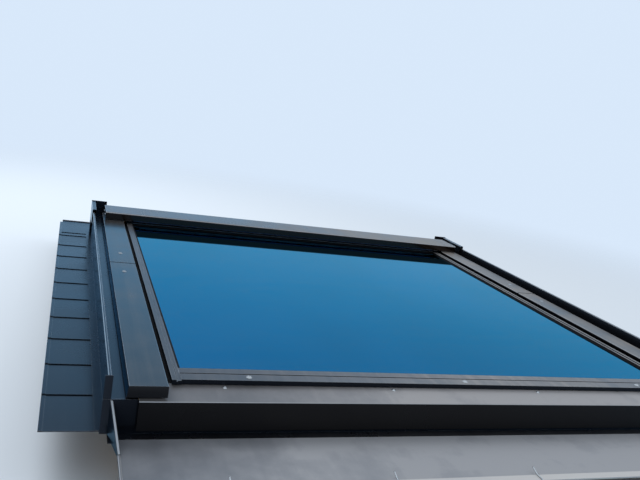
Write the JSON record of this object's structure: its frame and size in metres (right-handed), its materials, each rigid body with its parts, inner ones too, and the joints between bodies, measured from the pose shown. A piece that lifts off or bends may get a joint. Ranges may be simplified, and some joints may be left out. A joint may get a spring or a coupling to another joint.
{
  "type": "roof window",
  "caption": "Centre-pivot roof window with wooden frame and sash, double glazing, dark grey metal covers, hood and slate flashing with apron.",
  "frame": {"origin": "under the middle of the window, level with the underside of the wooden frame", "axes": "+X to the right along the eaves, +Y up the slope, +Z out of the roof; the window lies flat"},
  "size_m": [1.4, 1.4975, 0.175],
  "materials": {
    "timber": "clear lacquered pine",
    "glass": "clear float glass",
    "spacer": "black warm edge",
    "rubber": "black EPDM",
    "cladding": "semi-gloss dark grey",
    "flashing": "semi-gloss dark grey",
    "apron": "soft matt dark grey",
    "bright_aluminium": "satin anodised",
    "fitting_plastic": "matt",
    "zinc_steel": "zinc plated",
    "stainless_steel": "bright wire"
  },
  "bodies": {
    "root": {"frame_top": "timber", "frame_bottom": "timber", "frame_left": "timber", "frame_right": "timber", "sash_top": "timber", "sash_bottom": "timber", "sash_left": "timber", "sash_right": "timber", "hood_rail": "timber", "outer_pane": "glass", "inner_pane": "glass", "glass_spacer": "spacer", "pane_gasket": "rubber", "sash_seal": "rubber", "lower_cover_left": "cladding", "lower_cover_right": "cladding", "upper_cover_left": "cladding", "upper_cover_right": "cladding", "sash_cladding_left": "cladding", "sash_cladding_right": "cladding", "sash_cladding_top": "cladding", "sash_cladding_bottom": "cladding", "lower_frame_cover": "cladding", "hood": "cladding", "hood_ends": "cladding", "side_gutter_left": "flashing", "side_gutter_right": "flashing", "upper_corner_left": "flashing", "upper_corner_right": "flashing", "lower_corner_left": "flashing", "lower_corner_right": "flashing", "bottom_flashing": "flashing", "top_flashing": "flashing", "soakers_left": "flashing", "soakers_right": "flashing", "apron": "apron", "control_bar": "bright_aluminium", "ventilation_flap": "bright_aluminium", "bar_brackets": "fitting_plastic", "cover_clips": "fitting_plastic", "fixing_brackets": "zinc_steel", "pivot_left": "zinc_steel", "pivot_right": "zinc_steel", "cleaning_bolts": "zinc_steel", "apron_hooks": "stainless_steel"}
  },
  "joints": []
}
